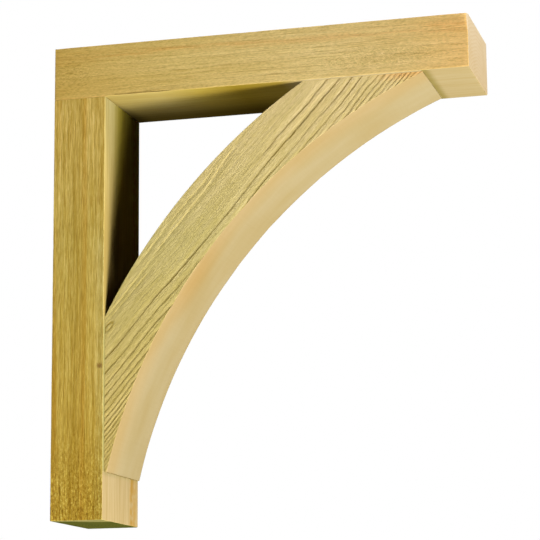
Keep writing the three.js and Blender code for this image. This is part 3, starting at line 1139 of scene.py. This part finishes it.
def dark_end_grain(name, colour):
    finish, tree, shader, place = start_finish(name)
    rings_now = use(tree, end_rings, Place=place, Heart=FOOT_HEART, Spacing=0.0048)
    x, y, z = split(tree, place)
    rim_width = maths(tree, "MULTIPLY_ADD", mask(tree, x, 0.0, 0.07), 0.030, 0.006)
    inside = less(tree, less(tree, y, arm_low[1]), rim_width)
    frayed = maths(tree, "MULTIPLY_ADD", noise_at(tree, place, 300, 2.0), 0.012, less(tree, inside, 0.006))
    fray = less(tree, 1.0, mask(tree, frayed, -0.003, 0.003))
    rim = times(tree, fray, maths(tree, "LESS_THAN", z, leg_low[2] + 0.02))
    dark_tone = node(tree, "Mix", {0: rim, 6: (*colour, 1), 7: (0.62, 0.52, 0.16, 1)}, 2, data_type="RGBA")
    paint(tree, shader, dark_tone, (
        (rings_now["Late"], (0.80, 0.84, 0.80)),
        (rings_now["Rays"], (0.88, 0.90, 0.85)),
        (mask(tree, noise_at(tree, place, 45, 3.0), 0.4, 0.7), (0.82, 0.88, 0.85)),
    ))
    rough_surface(tree, shader, [(0.5, rings_now["Late"]), (0.5, rings_now["Rays"])], 0.2 * MM, (0.75, 0.88))
    return finish


foot_end = dark_end_grain("dark_foot_end", (0.18, 0.178, 0.017))
# The brace's lower toe is painted dark brown: painted shade under the toe.
toe_end = dark_end_grain("toe_end_painted_shade", (0.62, 0.42, 0.150))

# %% [markdown]
# ## Weathered sides of the brace
# The brace's sides are grey-straw, a little greener than the sawn timbers and darker towards the
# foot. Short fibres lie along the grain between the rings. Shade is painted along the foot of each
# riser, and the crest beside it is paler, partly rubbed and partly a painted highlight.

# %% Weathered finish
weathered, tree, shader, place = start_finish("weathered_brace_sides")
x, y, z = split(tree, place)
turned = {"Vector": place, "Rotation": (0, GRAIN_SLOPE, 0)}
laid = node(tree, "VectorRotate", turned, rotation_type="EULER_XYZ")
streak = use(tree, fibre_streaks, Place=laid, Stretch=(9, 160, 160))
haze = use(tree, saw_fuzz, Place=laid, Stretch=(130, 600, 600), Cover=0.7)
up_brace = share(tree, z, lower_toe, ARM_UNDERSIDE)
colour = colour_row(tree, up_brace, [
    (0.0, (0.56, 0.42, 0.135)),
    (0.3, (0.59, 0.465, 0.158)),
    (0.6, (0.645, 0.53, 0.210)),
    (1.0, (0.83, 0.64, 0.300)),
])
toe_glow = times(tree, band(tree, z, ARM_UNDERSIDE, 0.014), mask(tree, x, 0.45, 0.51))
breaks = mask(tree, noise_at(tree, stretch(tree, laid, (90, 420, 420)), 1.0, 2.0), 0.30, 0.52)
# The riser lines are painted shade, broken here and there; the oval knot's outline rides with them.
ragged_shade_and_knot = times(tree, mark(tree, "riser_shade_and_knot_line"), breaks)
# The paler crests are partly rubbed wear and partly painted highlight.
paint(tree, shader, colour, (
    (streak["Bands"], (0.95, 0.95, 0.88)),
    (streak["Streaks"], (0.91, 0.90, 0.80)),
    (streak["Threads"], (0.86, 0.84, 0.70)),
    (haze["Pale"], (1.11, 1.13, 1.20)),
    (haze["Dark"], (0.84, 0.84, 0.72)),
    (toe_glow, (1.10, 0.84, 0.68)),
    (ragged_shade_and_knot, (0.70, 0.60, 0.28)),
    (mark(tree, "crest_wear_and_sheen"), (1.12, 1.12, 1.22)),
))
rough_surface(tree, shader, [(0.6, streak["Streaks"]), (0.4, haze["Pale"])], 0.3 * MM, (0.7, 0.88))

# %% [markdown]
# ## Planed soffit and crown of the brace
# The curved faces were planed smooth. Their colour is a soft peach straw with broad cloudy patches
# that run round the arc, one of them warm orange near the middle, and the plane left very faint
# lines across the width.

# %% Planed soffit finish
soffit, tree, shader, place = start_finish("planed_brace_curves")
from_centre = node(tree, "VectorMath", {0: place, 1: (arc_centre[0], 0, arc_centre[1])}, operation="SUBTRACT")
out, across, up = split(tree, from_centre)
squares = [maths(tree, "POWER", part, 2.0) for part in (out, up)]
reach = maths(tree, "SQRT", maths(tree, "ADD", *squares))
around = times(tree, maths(tree, "ARCTAN2", up, out), SOFFIT_RADIUS)
bent = node(tree, "CombineXYZ", {0: around, 1: across, 2: reach})
streak = use(tree, fibre_streaks, Place=bent, Stretch=(7, 32, 32))
chatter = noise_at(tree, stretch(tree, bent, (260, 9, 9)), 1.0, 4.0, 0.7)
cloud = mask(tree, noise_at(tree, stretch(tree, bent, (9, 16, 16)), 1.0, 2.0), 0.35, 0.65)
# The half of the soffit towards the near side is painted paler and peach: painted highlight.
painted_light_near_side = less(tree, 1.0, mask(tree, across, -0.066, 0.0))
half_way_up = band(tree, split(tree, place)[2], -0.005, 0.075)
warm = times(tree, half_way_up, band(tree, across, -0.04, 0.06))
colour = (0.612, 0.486, 0.245, 1)
paint(tree, shader, colour, (
    (cloud, (0.97, 0.94, 0.86)),
    (streak["Bands"], (0.97, 0.955, 0.90)),
    (streak["Streaks"], (0.985, 0.975, 0.945)),
    (warm, (0.98, 0.88, 0.70)),
    (painted_light_near_side, (1.07, 0.99, 0.92)),
    (mask(tree, chatter, 0.40, 0.75), (0.985, 0.98, 0.965)),
))
rough_surface(tree, shader, [(0.5, chatter), (0.4, streak["Streaks"])], 0.08 * MM, (0.46, 0.62))

# %% [markdown]
# ## Put the finishes on
# Each face of a piece gets its finish from the way it faces: sides, ends, or planed faces.

# %% Finish every face
SHARP = math.radians(40)
FACING = 0.72
END_FACING = 0.6
LEVEL = 0.985
CURVE_SKIN = 1.0 * MM


def dress(piece, sides, *others):
    """Gives every face the finish of the sides, then each other finish to the faces named with it."""
    mesh = piece.data
    mesh.materials.append(sides)
    choice = np.zeros(len(mesh.polygons), np.int32)
    for number, (finish, faces) in enumerate(others, 1):
        mesh.materials.append(finish)
        choice[faces] = number
    mesh.polygons.foreach_set("material_index", choice)
    mesh.polygons.foreach_set("use_smooth", np.ones(len(choice), bool))
    mesh.set_sharp_from_angle(angle=SHARP)


x, y, z = read_vectors(arm.data.polygons, "normal").T
dress(arm, sawn_arm, (planed_arm, z < -FACING), (arm_end, np.abs(x) > END_FACING))

x, y, z = read_vectors(leg.data.polygons, "normal").T
dress(leg, sawn_leg, (planed_leg, x > FACING), (foot_end, np.abs(z) > FACING))

x, y, z = read_vectors(plank.data.polygons, "normal").T
centres = read_vectors(plank.data.polygons, "center")
radius = np.hypot(centres[:, 0] - arc_centre[0], centres[:, 2] - arc_centre[1])
on_curves = np.minimum(radius - SOFFIT_RADIUS, CROWN_RADIUS - radius) < CURVE_SKIN
dress(plank, weathered, (soffit, on_curves & (np.abs(y) < FACING)), (toe_end, z < -LEVEL))
print("faces finished:", len(arm.data.polygons) + len(leg.data.polygons) + len(plank.data.polygons))

# %% Tie the pieces to the frame
for piece, name, slot in (
    (arm, "top_arm", "sawn_arm"),
    (leg, "wall_leg", "sawn_leg"),
    (plank, "curved_brace", "weathered_brace"),
):
    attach(piece, "root")
    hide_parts(name)
